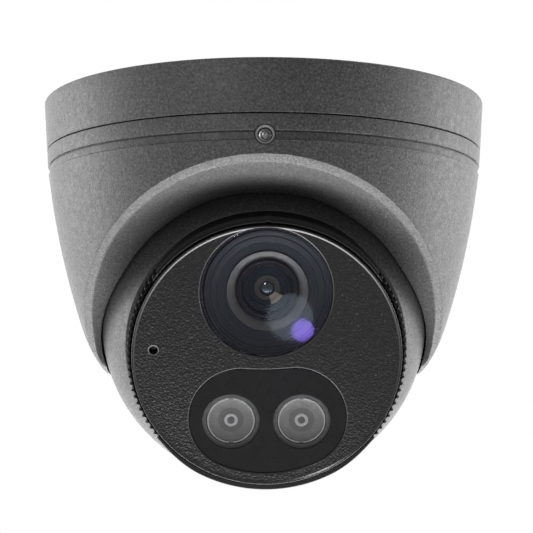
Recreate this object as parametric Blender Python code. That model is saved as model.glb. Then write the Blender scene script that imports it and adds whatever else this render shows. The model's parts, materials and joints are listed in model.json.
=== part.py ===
"""Turret dome camera: a ceiling base, a rotating cup with an oblique eye opening, and a ball that
tilts on a yoke and rolls about its lens axis. The ball holds the lens, the boards and two lamps.

Frame: +Z up, origin at the centre of the ceiling face, the camera looks towards -Y.
All dimensions are millimetres; MM turns them into Blender's metres.
"""
import math

import bmesh
import bpy
from mathutils import Matrix, Vector

MM = 0.001
GAP = 0.3                     # clearance between neighbouring pieces
TWIST = (0, 0, math.radians(3.1))     # keeps the corners of round holes off the plate's own edges

# Mounting base
BASE_RADIUS = 61.0            # at the ceiling face
BASE_DEPTH = 13.4             # down to the seam with the cup
WALL_TAPER = 0.068            # radius lost per millimetre of depth on the straight upper wall
PLATE = 4.0                   # thickness of the ceiling plate
RIM_WALL = 2.5
SKIRT_RADIUS = 54.9           # inner collar that the cup turns on
SKIRT_WALL = 2.5
SKIRT_DEPTH = 20.2
FLANGE_RADIUS = 56.2          # hook flange at the foot of the collar
FLANGE_TOP = -17.3
BAYONET_ANGLES = (61.3, 181.3, 301.3)
HOOK_LEAD = 43.0              # degrees that the cup is turned past its way in
CABLE_HOLE = (0.0, 30.0, 11.0)        # x, y, radius
SCREW_CIRCLE = 42.0
SCREW_HOLE = 2.25

# Cup
CUP_TOP = -BASE_DEPTH - GAP
CUP_BOTTOM = -74.7
CUP_WALL = 2.4
CUP_BORE = 56.6
GROOVE_Z = -17.7
SHOULDER_Z = -20.2
SHOULDER_RADIUS = 59.5
UPPER_ARC = 220.0             # long arc of the bowl's side
UPPER_SLOPE = math.radians(7.4)
LOWER_ARC = 38.0              # tight arc that closes on the ball
LOWER_ARC_Z = -62.4
EYE_SLOPE = 0.874             # the eye's rim plane is z = EYE_HEIGHT - EYE_SLOPE * y
EYE_HEIGHT = -75.07
RIM_BAND = 1.95               # flat rim, measured towards the axis
LIP_SPHERE = 45.2             # radius of the lip about the ball's centre
LIP_LAND = 1.8                # height of the lip's inner face
LOWEST_Z = -84.4              # search limit for the eye's edge, below the foot
FOOT_BLEND = 3.0              # size of the soft corner where the eye's edge runs into the level foot
YOKE_SPACE = 46.5             # radius of the space that the yoke swings in
# Lip height above the ball's centre, against degrees away from straight ahead
LIP_GUIDE = ((0, 30.2), (24, 28.2), (45, 20.1), (57.5, 10.0), (73, -1.3), (84, -9.3), (90, -15.4), (180, -15.4))
CUP_COLUMNS = 48
LOCK_SCREW = (0.0, -18.6)     # x, z of the lock screw, straight ahead
PIVOT_POCKET = 3.3            # radius of the tilt bushes' seats

# Ball
BALL_Z = -59.3
BALL_RADIUS = 44.65
BALL_BORE = 42.2
TILT = math.radians(20.6)     # lens axis below the horizontal, at rest
YAW = math.radians(1.6)
MOUTH = 25.5                  # distance of the shell's front edge from the centre
MOUTH_BORE = 34.0
SPLIT = -10.3                 # joint plane of the two shells
SHELL_STEPS = 36
STEM_RADIUS = 4.6
STEM_BORE = 3.2
STEM_END = -48.0

# Yoke
YOKE_INNER = 45.0
YOKE_OUTER = 46.0
YOKE_HALF_WIDTH = 4.0
PIVOT_RADIUS = 1.6

# Front cover and grip ring, along the lens axis
COVER_TURN = math.radians(1.15)       # the cover sits a touch turned on the ball
FACE = 34.2
FACE_BACK = 32.0
RIM_RADIUS = 34.6
RIM_BEAD = 0.75
GRIP_RADIUS = 36.0            # over the ribs
GRIP_PLAIN = 36.7             # over the plain stretches
GRIP_DEPTH = 0.9
GRIP_FRONT = 33.0
GRIP_HALF_ZONE = 38.0         # degrees each side of the horizontal that carry ribs
GRIP_RISE = 24.0              # degrees over which the ring grows from ribs to plain
GRIP_PITCH = 3.0
WINDOW_SEAT = 32.9
WINDOW_BACK = 33.2
WINDOW_FRONT = 34.0
LENS_HEIGHT = 16.9
LENS_WINDOW = 16.75
LENS_WINDOW_HEIGHT = 17.15
LED_X = 9.15
LED_HEIGHT = -17.5
BEAN_CENTRE = (6.75, -16.55)  # centre of the lamp window's right-hand end
BEAN_RADIUS = 13.7
BEAN_DIP = 0.35
MICROPHONE = (-28.96, 2.48)

BOARD_SCREWS = ((24, 20), (24, -20), (-24, 20), (-24, -20))

# colour, roughness, metallic
FINISHES = {
    "powder_coat": ((0.085, 0.085, 0.087), 0.62, 0.25),
    "black_plastic": ((0.018, 0.018, 0.018), 0.55, 0.0),
    "rubber": ((0.02, 0.02, 0.02), 0.85, 0.0),
    "steel": ((0.45, 0.45, 0.46), 0.35, 1.0),
    "acetal": ((0.75, 0.75, 0.72), 0.45, 0.0),
    "aluminium": ((0.6, 0.6, 0.62), 0.4, 1.0),
    "clear": ((0.75, 0.78, 0.8), 0.05, 0.0),
    "smoked": ((0.03, 0.03, 0.032), 0.08, 0.0),
    "coated_glass": ((0.05, 0.05, 0.09), 0.05, 0.0),
    "grey_plastic": ((0.2, 0.21, 0.22), 0.4, 0.0),
    "board_green": ((0.02, 0.16, 0.06), 0.5, 0.0),
    "chip_black": ((0.025, 0.025, 0.027), 0.4, 0.0),
    "phosphor": ((0.85, 0.7, 0.15), 0.5, 0.0),
    "pad_blue": ((0.25, 0.4, 0.6), 0.8, 0.0),
}


def clear_scene():
    for item in list(bpy.data.objects):
        bpy.data.objects.remove(item, do_unlink=True)


def make_material(name, finish):
    colour, roughness, metallic = FINISHES[finish]
    material = bpy.data.materials.new(name)
    material.use_nodes = True
    shader = material.node_tree.nodes["Principled BSDF"]
    shader.inputs["Base Color"].default_value = (*colour, 1.0)
    shader.inputs["Roughness"].default_value = roughness
    shader.inputs["Metallic"].default_value = metallic
    return material


def empty(name, parent=None, at=(0, 0, 0), turn=(0, 0, 0)):
    item = bpy.data.objects.new(name, None)
    bpy.context.scene.collection.objects.link(item)
    item.parent = parent
    item.location = Vector(at) * MM
    item.rotation_euler = turn
    return item


def add_piece(name, shape, finish, parent, at=(0, 0, 0), turn=(0, 0, 0)):
    """Turn a bmesh in metres into a named object with its own material."""
    bmesh.ops.recalc_face_normals(shape, faces=shape.faces)
    mesh = bpy.data.meshes.new(name)
    shape.to_mesh(mesh)
    shape.free()
    mesh.shade_smooth()
    mesh.set_sharp_from_angle(angle=math.radians(35))
    mesh.materials.append(make_material(name, finish))
    item = bpy.data.objects.new(name, mesh)
    bpy.context.scene.collection.objects.link(item)
    item.parent = parent
    item.location = Vector(at) * MM
    item.rotation_euler = turn
    return item


def combine(target, tool, operation="DIFFERENCE"):
    """Boolean the tool into the target and keep the tool as a hidden wire object."""
    step = target.modifiers.new(tool.name, "BOOLEAN")
    step.operation = operation
    step.solver = "EXACT"
    step.object = tool
    tool.hide_render = True
    tool.display_type = "WIRE"


def turned(profile, segments):
    """Solid of revolution about Z from (radius, height) points; radius 0 marks the axis."""
    shape = bmesh.new()
    points = [shape.verts.new((radius * MM, 0, height * MM)) for radius, height in profile]
    edges = [shape.edges.new(pair) for pair in zip(points, points[1:])]
    if profile[0][0] > 0 or profile[-1][0] > 0:
        edges.append(shape.edges.new((points[-1], points[0])))
    bmesh.ops.spin(
        shape, geom=points + edges, cent=(0, 0, 0), axis=(0, 0, 1), dvec=(0, 0, 0),
        angle=math.tau, steps=segments, use_merge=True, use_duplicate=False)
    bmesh.ops.remove_doubles(shape, verts=shape.verts, dist=1e-7)
    return shape


def loft(rings):
    """Closed tube of quads through rings of points, each ring closed and the last joined to the first."""
    shape = bmesh.new()
    rows = [[shape.verts.new(Vector(point) * MM) for point in ring] for ring in rings]
    count = len(rows[0])
    for row, following in zip(rows, rows[1:] + rows[:1]):
        for k in range(count):
            after = (k + 1) % count
            shape.faces.new((row[k], row[after], following[after], following[k]))
    return shape


def prism(outline, low, high):
    """Straight extrusion along Z of a closed outline of (x, y) points."""
    shape = bmesh.new()
    base = [shape.verts.new((x * MM, y * MM, low * MM)) for x, y in outline]
    face = shape.faces.new(base)
    grown = bmesh.ops.extrude_face_region(shape, geom=[face])["geom"]
    top = [item for item in grown if isinstance(item, bmesh.types.BMVert)]
    bmesh.ops.translate(shape, verts=top, vec=(0, 0, (high - low) * MM))
    return shape


def block(width, height, low, high, centre=(0, 0)):
    x, y = centre
    half_x, half_y = width / 2, height / 2
    corners = ((x - half_x, y - half_y), (x + half_x, y - half_y),
               (x + half_x, y + half_y), (x - half_x, y + half_y))
    return prism(corners, low, high)


def disc(radius, low, high, segments=24):
    return turned(((0, high), (radius, high), (radius, low), (0, low)), segments)


def arc_points(radius, start, end, steps, centre=(0.0, 0.0)):
    """Points on an arc, angles in degrees."""
    angles = [math.radians(start + (end - start) * k / steps) for k in range(steps + 1)]
    return [(centre[0] + radius * math.cos(a), centre[1] + radius * math.sin(a)) for a in angles]


def arc_block(inner, outer, low, high, middle, span):
    """Curved bar about Z, centred on an angle in degrees."""
    start, end = middle - span / 2, middle + span / 2
    outline = arc_points(outer, start, end, 5) + arc_points(inner, end, start, 5)
    return prism(outline, low, high)


def sphere_arc(radius, start, end, steps):
    """Profile points (distance from axis, height) on a sphere about the origin, between two heights."""
    first, last = math.asin(start / radius), math.asin(end / radius)
    angles = [first + (last - first) * k / steps for k in range(steps + 1)]
    return [(radius * math.cos(a), radius * math.sin(a)) for a in angles]


# ---------------------------------------------------------------- cup surfaces

def wall_radius(z):
    """Straight tapering wall shared by the base and the top of the cup."""
    return BASE_RADIUS + WALL_TAPER * z


def bowl_radius(z):
    """Outside of the cup below its shoulder: a long arc that runs into a tight one."""
    upper_x = SHOULDER_RADIUS - UPPER_ARC * math.cos(UPPER_SLOPE)
    upper_z = SHOULDER_Z + UPPER_ARC * math.sin(UPPER_SLOPE)
    if z > LOWER_ARC_Z:
        return upper_x + math.sqrt(UPPER_ARC ** 2 - (z - upper_z) ** 2)
    slope = math.asin((upper_z - LOWER_ARC_Z) / UPPER_ARC)
    lower_x = upper_x + (UPPER_ARC - LOWER_ARC) * math.cos(slope)
    lower_z = LOWER_ARC_Z + LOWER_ARC * math.sin(slope)
    return lower_x + math.sqrt(LOWER_ARC ** 2 - (z - lower_z) ** 2)


def eye_plane_z(radius, away):
    """Height of the eye's rim plane at a radius, `away` radians round from straight ahead."""
    return EYE_HEIGHT + EYE_SLOPE * radius * math.cos(away)


def eye_edge(away):
    """Height of the cup's lower edge, and the edge's share of the eye's plane: 1 on the plane, 0 on the foot."""
    low, high = LOWEST_Z, SHOULDER_Z
    for _ in range(40):
        middle = (low + high) / 2
        if eye_plane_z(bowl_radius(middle), away) > middle:
            low = middle
        else:
            high = middle
    above = low - CUP_BOTTOM
    blend = math.hypot(above, FOOT_BLEND)
    return CUP_BOTTOM + (above + blend) / 2, (1 + above / blend) / 2


def through_guide(guide, x):
    """Smooth curve through guide points, with slopes taken from each point's neighbours."""
    last = len(guide) - 1
    k = max(i for i in range(last) if guide[i][0] <= x)

    def slope(i):
        before, after = max(i - 1, 0), min(i + 1, last)
        if i in (0, last, last - 1):
            return 0.0
        return (guide[after][1] - guide[before][1]) / (guide[after][0] - guide[before][0])

    (x0, y0), (x1, y1) = guide[k], guide[k + 1]
    t = (x - x0) / (x1 - x0)
    run = x1 - x0
    return (y0 * (1 + 2 * t) * (1 - t) ** 2 + slope(k) * run * t * (1 - t) ** 2
            + y1 * t * t * (3 - 2 * t) + slope(k + 1) * run * t * t * (t - 1))


def sphere_radius_at(radius, z):
    """Radius of a sphere about the ball's centre, at a height in the object's frame."""
    return math.sqrt(radius ** 2 - (z - BALL_Z) ** 2)


def cup_section(away):
    """The cup's closed profile of (radius, z) points at one angle from straight ahead."""
    foot, on_plane = eye_edge(away)
    foot_radius = bowl_radius(foot)
    lip = BALL_Z + through_guide(LIP_GUIDE, math.degrees(away))
    lip = max(lip, foot) if away > math.pi / 3 else lip
    lip_radius = sphere_radius_at(LIP_SPHERE, lip)
    band = min(RIM_BAND, 0.5 * (foot_radius - lip_radius))
    band_radius = foot_radius - band
    band_z = foot - on_plane * EYE_SLOPE * band * math.cos(away)

    section = [(CUP_BORE, CUP_TOP), (57.7, CUP_TOP), (57.7, -15.0), (59.1, -15.0), (59.1, CUP_TOP),
               (wall_radius(CUP_TOP), CUP_TOP), (wall_radius(GROOVE_Z), GROOVE_Z),
               (59.25, GROOVE_Z - 0.25), (59.4, GROOVE_Z - 0.5), (59.28, SHOULDER_Z + 0.2),
               (SHOULDER_RADIUS, SHOULDER_Z)]
    for k in range(1, 9):
        z = SHOULDER_Z + (foot - SHOULDER_Z) * k / 8
        section.append((bowl_radius(z), z))
    section.append((band_radius, band_z))
    for k in (1, 2, 3):
        part = k / 3
        section.append((band_radius + (lip_radius - band_radius) * part, band_z + (lip - band_z) * part))

    land = lip + LIP_LAND
    floor = min(max(max(foot, lip) + 3.2, LOWER_ARC_Z), -22.0)
    section.append((sphere_radius_at(LIP_SPHERE, land), land))
    land += 0.1
    for k in range(4):
        z = land + (floor - land) * k / 3
        section.append((sphere_radius_at(YOKE_SPACE, z), z))
    for k in range(4):
        z = floor + (-21.5 - floor) * k / 3
        section.append((min(CUP_BORE, bowl_radius(z) - CUP_WALL), z))
    return section


def build_cup(pan):
    sections = []
    for k in range(CUP_COLUMNS):
        turn = math.tau * k / CUP_COLUMNS
        away = turn if turn <= math.pi else math.tau - turn
        sections.append([(radius * math.sin(turn), -radius * math.cos(turn), z)
                         for radius, z in cup_section(away)])
    rings = [list(ring) for ring in zip(*sections)]
    cup = add_piece("cup_housing", loft(rings), "powder_coat", pan)

    for k, angle in enumerate(BAYONET_ANGLES):
        hook = arc_block(SKIRT_RADIUS + 0.4, CUP_BORE + 1.0, -16.9, -14.6, angle + HOOK_LEAD, 20)
        combine(cup, add_piece(f"cup_hook_{k}", hook, "powder_coat", pan), "UNION")
    facing = (math.radians(90), 0, 0)
    recess = turned(((0, 62.0), (2.85, 62.0), (2.6, 58.9), (1.95, 58.7), (1.95, 54.0), (0, 54.0)), 20)
    lock_x, lock_z = LOCK_SCREW
    combine(cup, add_piece("lock_recess", recess, "powder_coat", pan, (lock_x, 0, lock_z), facing))
    for side, name in ((1, "left"), (-1, "right")):
        pocket = disc(PIVOT_POCKET, 44.0, 48.4)
        turn = (0, -side * math.radians(90), YAW)
        combine(cup, add_piece(f"pivot_pocket_{name}", pocket, "powder_coat", pan, (0, 0, BALL_Z), turn))
        bush = turned(((3.0, 46.7), (1.9, 46.7), (1.9, 48.1), (3.0, 48.1)), 16)
        add_piece(f"tilt_bush_{name}", bush, "acetal", pan, (0, 0, BALL_Z), turn)

    screw = turned(((0, 57.9), (0.9, 57.9), (0.9, 58.55), (1.35, 58.55), (1.65, 58.3),
                    (1.65, 56.9), (1.2, 56.5), (0, 56.5)), 16)
    add_piece("lock_screw", screw, "steel", pan, (lock_x, 0, lock_z), facing)
    gasket = turned(((58.05, -14.0), (58.75, -14.0), (58.75, -14.7), (58.05, -14.7)), CUP_COLUMNS)
    add_piece("cup_gasket", gasket, "rubber", pan)


def build_base():
    seam_radius = wall_radius(-BASE_DEPTH)
    profile = ((0, 0), (BASE_RADIUS - 0.6, 0), (BASE_RADIUS, -0.6), (seam_radius, -BASE_DEPTH),
               (seam_radius - RIM_WALL, -BASE_DEPTH), (seam_radius - RIM_WALL, -PLATE),
               (SKIRT_RADIUS, -PLATE), (SKIRT_RADIUS, FLANGE_TOP), (FLANGE_RADIUS, FLANGE_TOP),
               (FLANGE_RADIUS, -SKIRT_DEPTH), (SKIRT_RADIUS - SKIRT_WALL, -SKIRT_DEPTH),
               (SKIRT_RADIUS - SKIRT_WALL, -PLATE), (0, -PLATE))
    base = add_piece("mounting_base", turned(profile, CUP_COLUMNS), "powder_coat", None)
    hole_x, hole_y, hole_radius = CABLE_HOLE
    cable_cut = disc(hole_radius, -6, 2)
    combine(base, add_piece("cable_cut", cable_cut, "powder_coat", None, (hole_x, hole_y, 0), TWIST))
    for k, angle in enumerate((30, 150, 270)):
        turn = math.radians(angle)
        at = (SCREW_CIRCLE * math.cos(turn), SCREW_CIRCLE * math.sin(turn), 0)
        hole = turned(((0, 2), (SCREW_HOLE, 2), (SCREW_HOLE, -2), (4.4, -4.2), (4.4, -6), (0, -6)), 16)
        combine(base, add_piece(f"screw_cut_{k}", hole, "powder_coat", None, at, TWIST))
    for k, angle in enumerate(BAYONET_ANGLES):
        notch = arc_block(SKIRT_RADIUS + 0.1, 60, -23, -16, angle, 26)
        combine(base, add_piece(f"bayonet_cut_{k}", notch, "powder_coat", None))
    grommet = turned(((hole_radius - GAP, -0.3), (hole_radius - GAP, -4.3), (13.0, -4.3), (13.0, -5.8),
                      (6.5, -5.8), (6.0, -7.5), (4.0, -7.5), (4.0, -0.3)), 18)
    add_piece("cable_grommet", grommet, "rubber", None, (hole_x, hole_y, 0))


def build_yoke(tilt):
    """Strap from pivot to pivot round the back of the ball, with a pierced pad on the lens axis."""
    turn = (math.radians(90) + TILT, 0, 0)
    reach = math.degrees(math.asin(YOKE_HALF_WIDTH / YOKE_OUTER))
    outline = arc_points(YOKE_OUTER, 180 - reach, 360 + reach, 40)
    outline += arc_points(YOKE_INNER, 360 + reach, 180 - reach, 40)
    strap = prism(outline, -YOKE_HALF_WIDTH, YOKE_HALF_WIDTH)
    bmesh.ops.rotate(strap, cent=(0, 0, 0), matrix=Matrix.Rotation(math.radians(90), 3, "X"), verts=strap.verts)
    yoke = add_piece("tilt_yoke", strap, "steel", tilt, (0, 0, 0), turn)
    pad = add_piece("yoke_pad", disc(9.0, -YOKE_OUTER, -YOKE_INNER), "steel", tilt, (0, 0, 0), turn)
    combine(yoke, pad, "UNION")
    for side, name in ((1, "left"), (-1, "right")):
        pin = disc(PIVOT_RADIUS, YOKE_INNER + 0.4, 47.9, 12)
        sideways = (0, -side * math.radians(90), 0)
        combine(yoke, add_piece(f"yoke_pin_{name}", pin, "steel", tilt, (0, 0, 0), sideways), "UNION")
    bore = add_piece("yoke_bore", disc(6.2, -50, -40), "steel", tilt, (0, 0, 0), turn)
    combine(yoke, bore)
    bush = turned(((4.9, -45.0), (5.9, -45.0), (5.9, -46.3), (7.4, -46.3), (7.4, -46.8), (4.9, -46.8)), 16)
    add_piece("roll_bush", bush, "acetal", tilt, (0, 0, 0), turn)


def build_shells(roll):
    front = [(MOUTH_BORE, MOUTH)]
    front += sphere_arc(BALL_RADIUS, MOUTH, SPLIT + GAP / 2, 8)
    front += sphere_arc(BALL_BORE, SPLIT + GAP / 2, 25.0, 6)
    front[-1] = (MOUTH_BORE, 25.0)
    add_piece("ball_shell_front", turned(front, SHELL_STEPS), "powder_coat", roll)

    face = SPLIT - GAP / 2
    stem_root = -math.sqrt(BALL_RADIUS ** 2 - STEM_RADIUS ** 2)
    bore_root = -math.sqrt(BALL_BORE ** 2 - STEM_BORE ** 2)
    spigot_outer, spigot_inner = 40.6, 38.6
    rear = sphere_arc(BALL_RADIUS, face, stem_root, 7)
    rear += [(STEM_RADIUS, STEM_END), (STEM_BORE, STEM_END)]
    rear += sphere_arc(BALL_BORE, bore_root, -math.sqrt(BALL_BORE ** 2 - spigot_inner ** 2), 5)
    rear += [(spigot_inner, face + 3.4), (spigot_outer, face + 3.4), (spigot_outer, face), (41.0, face),
             (41.0, face - 1.2), (42.4, face - 1.2), (42.4, face)]
    add_piece("ball_shell_rear", turned(rear, SHELL_STEPS), "powder_coat", roll)
    seal = turned(((41.3, face), (42.1, face), (42.1, face - 0.9), (41.3, face - 0.9)), SHELL_STEPS)
    add_piece("shell_seal", seal, "rubber", roll)
    nut = arc_points(6.5, 0, 300, 5)
    nut_piece = add_piece("roll_nut", prism(nut, -48.0, -47.1), "steel", roll)
    combine(nut_piece, add_piece("nut_bore", disc(STEM_RADIUS + GAP, -50, -45, 16), "steel", roll))


def bean_outline(inset, steps=6):
    """Lamp window: two round ends, a foot concentric with the face, and a slightly dipped top."""
    x, y = BEAN_CENTRE
    radius = BEAN_RADIUS - inset
    reach = math.hypot(x, y) + radius
    lean = math.degrees(math.atan2(x, -y))
    outline = arc_points(radius, -90 + lean, 90, steps, (x, y))
    for k in range(1, 6):
        part = k / 6
        dip = BEAN_DIP * math.sin(math.pi * part)
        outline.append((x - 2 * x * part, y + radius - dip))
    outline += arc_points(radius, 90, 270 - lean, steps, (-x, y))
    outline += arc_points(reach, 270 - lean, 270 + lean, steps)[1:-1]
    return outline


def grip_radius(angle):
    """Outer radius of the grip ring: ribbed at the two sides, plain and larger above and below."""
    from_side = min(angle % 180, 180 - angle % 180)
    if from_side > GRIP_HALF_ZONE + 1:
        part = min(1.0, (from_side - GRIP_HALF_ZONE) / GRIP_RISE)
        return GRIP_RADIUS + (GRIP_PLAIN - GRIP_RADIUS) * part * part * (3 - 2 * part)
    phase = (from_side + GRIP_PITCH / 4) % GRIP_PITCH
    return GRIP_RADIUS if phase < GRIP_PITCH / 2 else GRIP_RADIUS - GRIP_DEPTH


def grip_angles():
    """Two stations to each rib, and wide steps over the plain stretches."""
    angles = []
    angle = -GRIP_HALF_ZONE
    while angle < 360 - GRIP_HALF_ZONE - 1:
        angles.append(angle)
        from_side = min(angle % 180, 180 - angle % 180)
        ribbed = from_side < GRIP_HALF_ZONE - 0.5 or (angle + 180) % 180 > 180 - GRIP_HALF_ZONE - 0.5
        angle += GRIP_PITCH / 2 if ribbed else 8.0
    return angles


def build_face(roll, cover_axis):
    cover = [(0, FACE), (RIM_RADIUS - RIM_BEAD, FACE), (RIM_RADIUS - RIM_BEAD, FACE + 0.3),
             (RIM_RADIUS, FACE + 0.3), (RIM_RADIUS, 32.6), (33.9, 31.9), (33.9, 26.3), (33.7, 26.0),
             (33.7, 25.9), (32.7, 25.9), (32.7, 24.5), (33.7, 24.5), (33.7, 22.0), (31.9, 22.0),
             (31.9, FACE_BACK), (0, FACE_BACK)]
    face = add_piece("front_cover", turned(cover, SHELL_STEPS), "black_plastic", cover_axis)
    lens_at = (0, LENS_WINDOW_HEIGHT, 0)
    for name, radius, low in (("window_seat", LENS_WINDOW + 0.2, WINDOW_SEAT), ("window_port", 16.2, 30.0)):
        combine(face, add_piece(name, disc(radius, low, 38, 32), "black_plastic", cover_axis, lens_at))
    for name, inset, low in (("lamp_seat", 0.0, WINDOW_SEAT), ("lamp_port", 1.2, 29.0)):
        combine(face, add_piece(name, prism(bean_outline(inset), low, 38), "black_plastic", cover_axis))
    hole = add_piece("sound_hole", disc(1.0, 28, 38, 12), "black_plastic", cover_axis, (*MICROPHONE, 0))
    combine(face, hole)
    seal = turned(((33.0, 25.6), (33.7, 25.6), (33.7, 24.8), (33.0, 24.8)), SHELL_STEPS)
    add_piece("front_seal", seal, "rubber", roll)

    rings = []
    angles = grip_angles()
    for inner, z in ((34.2, 26.3), (None, 26.3), (None, GRIP_FRONT), (34.95, GRIP_FRONT),
                     (34.95, 32.45), (34.2, 31.7)):
        ring = []
        for angle in angles:
            radius = grip_radius(angle) if inner is None else inner
            if inner is None and z == GRIP_FRONT:
                radius = max(radius, 35.2)
            turn = math.radians(angle)
            ring.append((radius * math.cos(turn), radius * math.sin(turn), z))
        rings.append(ring)
    add_piece("grip_ring", loft(rings), "black_plastic", roll)

    window = turned(((0, WINDOW_FRONT), (LENS_WINDOW - 0.2, WINDOW_FRONT), (LENS_WINDOW, WINDOW_FRONT - 0.2),
                     (LENS_WINDOW, WINDOW_BACK), (0, WINDOW_BACK)), 32)
    add_piece("lens_window", window, "clear", cover_axis, lens_at)
    add_piece("lamp_window", prism(bean_outline(GAP), WINDOW_BACK, WINDOW_FRONT), "smoked", cover_axis)


def build_lens(roll):
    at = (0, LENS_HEIGHT, 0)
    baffle = [(15.6, 32.8), (15.6, 31.2), (12.6, 30.2), (10.6, 30.2), (10.6, 31.2)]
    for k in range(5):
        radius = 11.0 + 0.45 * k
        depth = 31.2 + 0.15 * k
        baffle += [(radius, depth), (radius, depth + 0.15)]
    baffle += [(14.8, 32.1), (15.3, 32.8)]
    add_piece("lens_baffle", turned(baffle, 24), "black_plastic", roll, at)
    bezel = ((10.3, 31.3), (10.3, 30.0), (8.3, 30.0), (8.3, 30.6))
    add_piece("lens_bezel", turned(bezel, 24), "grey_plastic", roll, at)
    barrel = ((8.0, 31.6), (8.0, 22.0), (7.0, 21.5), (7.0, 5.0), (5.6, 5.0), (5.6, 8.0), (4.5, 8.0),
              (4.5, 28.2), (6.5, 28.2), (6.5, 30.8), (7.3, 31.6))
    add_piece("lens_barrel", turned(barrel, 20), "black_plastic", roll, at)
    front = ((0, 31.2), (2.4, 31.05), (4.4, 30.65), (6.2, 30.0), (6.2, 29.7), (0, 29.7))
    add_piece("lens_front_element", turned(front, 24), "coated_glass", roll, at)
    stop = ((6.2, 29.4), (6.2, 28.5), (2.2, 28.5), (2.2, 29.0), (2.6, 29.3))
    add_piece("lens_stop", turned(stop, 20), "black_plastic", roll, at)
    middle = ((0, 28.1), (2.0, 27.9), (4.2, 27.2), (4.2, 24.0), (0, 24.0))
    add_piece("lens_middle_element", turned(middle, 20), "coated_glass", roll, at)
    rear = ((0, 12.4), (2.4, 12.0), (4.2, 11.2), (4.2, 9.0), (0, 8.6))
    add_piece("lens_rear_element", turned(rear, 20), "coated_glass", roll, at)
    holder = ((9.3, 20.0), (9.3, 5.4), (12.5, 5.4), (12.5, 3.2), (7.3, 3.2), (7.3, 20.0))
    add_piece("lens_holder", turned(holder, 20), "black_plastic", roll, at)


def build_electronics(roll):
    add_piece("sensor_board", block(34, 31, 1.3, 2.9, (0, 15.4)), "board_green", roll)
    add_piece("image_sensor", block(9, 7, 3.2, 4.2, (0, LENS_HEIGHT)), "chip_black", roll)
    add_piece("board_connector", block(16, 4, -2.0, 1.0, (0, 3.0)), "black_plastic", roll)
    board = add_piece("main_board", disc(36.0, -3.9, -2.3, 28), "board_green", roll)
    add_piece("processor", block(15, 15, -5.6, -4.2), "chip_black", roll)
    add_piece("thermal_pad", block(14, 14, -7.7, -5.9), "pad_blue", roll)
    add_piece("inner_bracket", disc(38.3, -9.5, -8.0, 32), "aluminium", roll)
    add_piece("cable_connector", block(12, 6, -15.0, -9.8, (0, -14)), "acetal", roll)
    for k, (x, y) in enumerate(BOARD_SCREWS, 1):
        hole = add_piece(f"board_hole_{k}", disc(1.5, -6, 0, 10), "board_green", roll, (x, y, 0))
        combine(board, hole)
        pillar = turned(((2.4, -4.2), (2.4, -7.7), (1.4, -7.7), (1.4, -4.2)), 12)
        add_piece(f"standoff_{k}", pillar, "steel", roll, (x, y, 0))
        screw = turned(((0, -0.6), (1.5, -0.7), (2.3, -1.3), (2.3, -2.0), (1.1, -2.0), (1.1, -7.2), (0, -7.2)), 12)
        add_piece(f"board_screw_{k}", screw, "steel", roll, (x, y, 0))


def build_lamps(roll, cover_axis):
    board = prism(bean_outline(3.4, 5), 23.0, 24.2)
    add_piece("lamp_board", board, "board_green", roll)
    mask = add_piece("lamp_mask", prism(bean_outline(1.6), 32.1, 32.9), "black_plastic", cover_axis)
    for side, name in ((-1, "left"), (1, "right")):
        at = (side * LED_X, LED_HEIGHT, 0)
        cut = add_piece(f"mask_cut_{name}", disc(7.7, 30, 34, 20), "black_plastic", roll, at)
        combine(mask, cut)
        chip = block(3.5, 3.5, 24.5, 25.2)
        add_piece(f"lamp_chip_{name}", chip, "phosphor", roll, at)
        holder = ((7.4, 32.4), (7.4, 24.5), (6.6, 24.5), (6.6, 31.2), (6.2 + GAP, 32.4))
        add_piece(f"lamp_holder_{name}", turned(holder, 20), "grey_plastic", roll, at)
        optic = ((0, 30.2), (1.8, 30.2), (1.9, 31.8), (6.15, 32.0), (6.15, 31.0), (3.0, 25.5),
                 (1.7, 25.5), (1.7, 28.0), (0, 28.4))
        add_piece(f"lamp_optic_{name}", turned(optic, 16), "clear", roll, at)


def build_microphone(cover_axis):
    at = (*MICROPHONE, 0)
    add_piece("microphone", disc(2.2, 28.6, 30.6, 14), "steel", cover_axis, at)
    gasket = turned(((0.9, 31.7), (2.2, 31.7), (2.2, 30.9), (0.9, 30.9)), 14)
    add_piece("microphone_gasket", gasket, "rubber", cover_axis, at)


def main():
    clear_scene()
    pan = empty("pan_axis")
    tilt = empty("tilt_axis", pan, (0, 0, BALL_Z), (0, 0, YAW))
    roll = empty("roll_axis", tilt, (0, 0, 0), (math.radians(90) + TILT, 0, 0))
    build_base()
    build_cup(pan)
    build_yoke(tilt)
    build_shells(roll)
    cover_axis = empty("cover_axis", roll, (0, 0, 0), (0, 0, COVER_TURN))
    build_face(roll, cover_axis)
    build_lens(roll)
    build_electronics(roll)
    build_lamps(roll, cover_axis)
    build_microphone(cover_axis)


main()
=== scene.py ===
"""Looks of the turret dome camera: fine surfaces, materials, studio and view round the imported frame.

Frame: +Z up, origin at the centre of the ceiling face, the camera looks towards -Y.
Dimensions are millimetres; MM turns them into Blender's metres.
"""
import json
import math

import bmesh
import bpy
from mathutils import Matrix, Vector


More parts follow.
